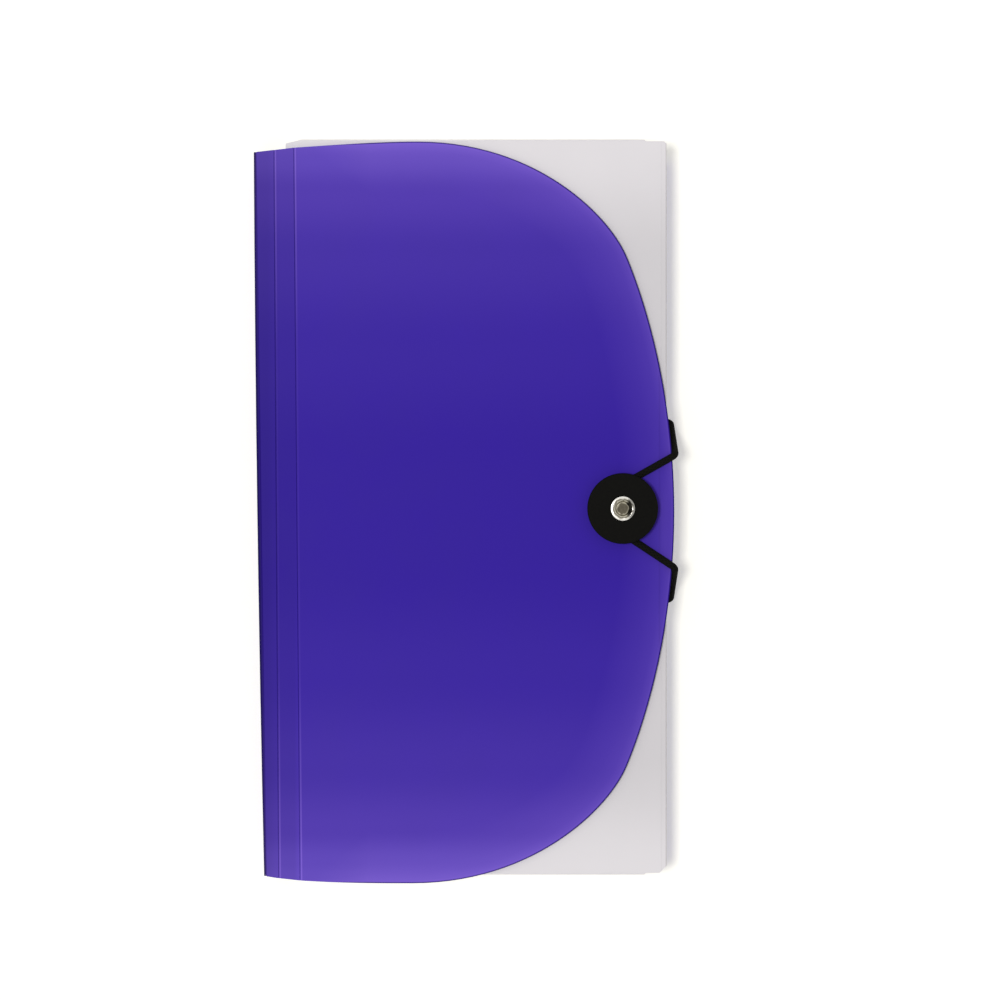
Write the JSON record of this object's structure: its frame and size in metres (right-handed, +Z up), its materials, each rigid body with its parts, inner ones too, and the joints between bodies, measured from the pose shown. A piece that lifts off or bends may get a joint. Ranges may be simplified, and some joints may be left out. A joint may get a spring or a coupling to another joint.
{
  "type": "expanding file folder",
  "caption": "Accordion file for cheques and receipts, with frosted pockets, a wrap-over flap and an elastic that hooks round a button.",
  "frame": {"origin": "middle of the part's bounding box, on the surface that the back cover lies on", "axes": "+X from the spine to the flap's tip, +Y along the spine, +Z up from the back cover to the button"},
  "size_m": [0.1484, 0.2594, 0.0245],
  "materials": {
    "purple_sheet": "satin",
    "frosted_sheet": "satin",
    "divider_film": "satin",
    "gusset_film": "satin",
    "label_paper": "matte",
    "button_plastic": "matte",
    "elastic_cord": "matte",
    "rivet_metal": "polished",
    "barb_metal": "satin"
  },
  "bodies": {
    "back": {"back_cover": "purple_sheet", "cord_stop_a": "barb_metal", "cord_stop_b": "barb_metal"},
    "spine": {"spine_panel": "purple_sheet"},
    "strip_1": {"hinge_strip_1": "purple_sheet"},
    "strip_2": {"hinge_strip_2": "purple_sheet"},
    "flap_panel": {"flap": "purple_sheet", "eyelet": "rivet_metal", "eyelet_washer": "rivet_metal", "button_spacer": "button_plastic"},
    "button": {"button_disc": "button_plastic"},
    "elastic_sides": {"elastic_side_a": "elastic_cord", "elastic_side_b": "elastic_cord"},
    "elastic_top": {"elastic_loop": "elastic_cord"},
    "leaf_01": {"divider_01": "divider_film", "tab_label_01": "label_paper", "gusset_01": "gusset_film"},
    "leaf_02": {"divider_02": "divider_film", "tab_label_02": "label_paper", "gusset_02": "gusset_film"},
    "leaf_03": {"divider_03": "divider_film", "tab_label_03": "label_paper", "gusset_03": "gusset_film"},
    "leaf_04": {"divider_04": "divider_film", "tab_label_04": "label_paper", "gusset_04": "gusset_film"},
    "leaf_05": {"divider_05": "divider_film", "tab_label_05": "label_paper", "gusset_05": "gusset_film"},
    "leaf_06": {"divider_06": "divider_film", "tab_label_06": "label_paper", "gusset_06": "gusset_film"},
    "leaf_07": {"divider_07": "divider_film", "tab_label_07": "label_paper", "gusset_07": "gusset_film"},
    "leaf_08": {"divider_08": "divider_film", "tab_label_08": "label_paper", "gusset_08": "gusset_film"},
    "leaf_09": {"divider_09": "divider_film", "tab_label_09": "label_paper", "gusset_09": "gusset_film"},
    "leaf_10": {"divider_10": "divider_film", "tab_label_10": "label_paper", "gusset_10": "gusset_film"},
    "leaf_11": {"divider_11": "divider_film", "tab_label_11": "label_paper", "gusset_11": "gusset_film"},
    "leaf_12": {"divider_12": "divider_film", "tab_label_12": "label_paper", "gusset_12": "gusset_film"},
    "front": {"front_cover": "frosted_sheet", "gusset_13": "gusset_film"}
  },
  "joints": [
    {"name": "spine_fold", "type": "hinge", "parent": "back", "child": "spine", "pos_m": [-0.0724, -0.00047, 0], "axis": [0.0143, -0.9999, 0], "range_deg": [0, 88]},
    {"name": "flap_fold", "type": "hinge", "parent": "spine", "child": "strip_1", "pos_m": [-0.0724, -0.00047, 0.01888], "axis": [0.0143, -0.9999, 0], "range_deg": [0, 71]},
    {"name": "score_1", "type": "hinge", "parent": "strip_1", "child": "strip_2", "pos_m": [-0.0662, -0.00047, 0.01888], "axis": [0.0066, -1, 0], "range_deg": [0, 10]},
    {"name": "score_2", "type": "hinge", "parent": "strip_2", "child": "flap_panel", "pos_m": [-0.059, -0.00047, 0.01888], "axis": [0.0087, -1, 0], "range_deg": [0, 10]},
    {"name": "button_spin", "type": "hinge", "parent": "flap_panel", "child": "button", "pos_m": [0.0544, 0.00068, 0.01888], "axis": [0, 0, 1], "continuous": true},
    {"name": "elastic_swing", "type": "hinge", "parent": "back", "child": "elastic_sides", "pos_m": [0.07085, -0.00047, 0.0033], "axis": [0, 1, 0], "range_deg": [0, 81], "deforming": ["elastic_side_a", "elastic_side_b"]},
    {"name": "elastic_unhook", "type": "hinge", "parent": "elastic_sides", "child": "elastic_top", "pos_m": [0.07294, -0.00047, 0.02053], "axis": [0, 1, 0], "range_deg": [0, 100], "deforming": ["elastic_loop"]},
    {"name": "fan_01", "type": "hinge", "parent": "back", "child": "leaf_01", "pos_m": [0.06585, -0.00047, 0.00118], "axis": [0, 1, 0], "range_deg": [0, 1.6], "deforming": ["gusset_01"]},
    {"name": "fan_02", "type": "hinge", "parent": "leaf_01", "child": "leaf_02", "pos_m": [0.06585, -0.00047, 0.00244], "axis": [0, 1, 0], "range_deg": [0, 1.6], "deforming": ["gusset_02"]},
    {"name": "fan_03", "type": "hinge", "parent": "leaf_02", "child": "leaf_03", "pos_m": [0.06585, -0.00047, 0.0037], "axis": [0, 1, 0], "range_deg": [0, 1.6], "deforming": ["gusset_03"]},
    {"name": "fan_04", "type": "hinge", "parent": "leaf_03", "child": "leaf_04", "pos_m": [0.06585, -0.00047, 0.00496], "axis": [0, 1, 0], "range_deg": [0, 1.6], "deforming": ["gusset_04"]},
    {"name": "fan_05", "type": "hinge", "parent": "leaf_04", "child": "leaf_05", "pos_m": [0.06585, -0.00047, 0.00622], "axis": [0, 1, 0], "range_deg": [0, 1.6], "deforming": ["gusset_05"]},
    {"name": "fan_06", "type": "hinge", "parent": "leaf_05", "child": "leaf_06", "pos_m": [0.06585, -0.00047, 0.00748], "axis": [0, 1, 0], "range_deg": [0, 1.6], "deforming": ["gusset_06"]},
    {"name": "fan_07", "type": "hinge", "parent": "leaf_06", "child": "leaf_07", "pos_m": [0.06585, -0.00047, 0.00874], "axis": [0, 1, 0], "range_deg": [0, 1.6], "deforming": ["gusset_07"]},
    {"name": "fan_08", "type": "hinge", "parent": "leaf_07", "child": "leaf_08", "pos_m": [0.06585, -0.00047, 0.01], "axis": [0, 1, 0], "range_deg": [0, 1.6], "deforming": ["gusset_08"]},
    {"name": "fan_09", "type": "hinge", "parent": "leaf_08", "child": "leaf_09", "pos_m": [0.06585, -0.00047, 0.01126], "axis": [0, 1, 0], "range_deg": [0, 1.6], "deforming": ["gusset_09"]},
    {"name": "fan_10", "type": "hinge", "parent": "leaf_09", "child": "leaf_10", "pos_m": [0.06585, -0.00047, 0.01252], "axis": [0, 1, 0], "range_deg": [0, 1.6], "deforming": ["gusset_10"]},
    {"name": "fan_11", "type": "hinge", "parent": "leaf_10", "child": "leaf_11", "pos_m": [0.06585, -0.00047, 0.01378], "axis": [0, 1, 0], "range_deg": [0, 1.6], "deforming": ["gusset_11"]},
    {"name": "fan_12", "type": "hinge", "parent": "leaf_11", "child": "leaf_12", "pos_m": [0.06585, -0.00047, 0.01504], "axis": [0, 1, 0], "range_deg": [0, 1.6], "deforming": ["gusset_12"]},
    {"name": "fan_13", "type": "hinge", "parent": "leaf_12", "child": "front", "pos_m": [0.06585, -0.00047, 0.0163], "axis": [0, 1, 0], "range_deg": [0, 1.6], "deforming": ["gusset_13"]}
  ],
  "couplings": [
    {"joint": "flap_fold", "follows": "spine_fold", "ratio": 0.8},
    {"joint": "elastic_swing", "follows": "spine_fold", "ratio": 0.91},
    {"joint": "elastic_unhook", "follows": "spine_fold", "ratio": 1.13},
    {"joint": "fan_01", "follows": "spine_fold", "ratio": 0.017},
    {"joint": "fan_02", "follows": "spine_fold", "ratio": 0.017},
    {"joint": "fan_03", "follows": "spine_fold", "ratio": 0.017},
    {"joint": "fan_04", "follows": "spine_fold", "ratio": 0.017},
    {"joint": "fan_05", "follows": "spine_fold", "ratio": 0.017},
    {"joint": "fan_06", "follows": "spine_fold", "ratio": 0.017},
    {"joint": "fan_07", "follows": "spine_fold", "ratio": 0.017},
    {"joint": "fan_08", "follows": "spine_fold", "ratio": 0.017},
    {"joint": "fan_09", "follows": "spine_fold", "ratio": 0.017},
    {"joint": "fan_10", "follows": "spine_fold", "ratio": 0.017},
    {"joint": "fan_11", "follows": "spine_fold", "ratio": 0.017},
    {"joint": "fan_12", "follows": "spine_fold", "ratio": 0.017},
    {"joint": "fan_13", "follows": "spine_fold", "ratio": 0.017}
  ]
}
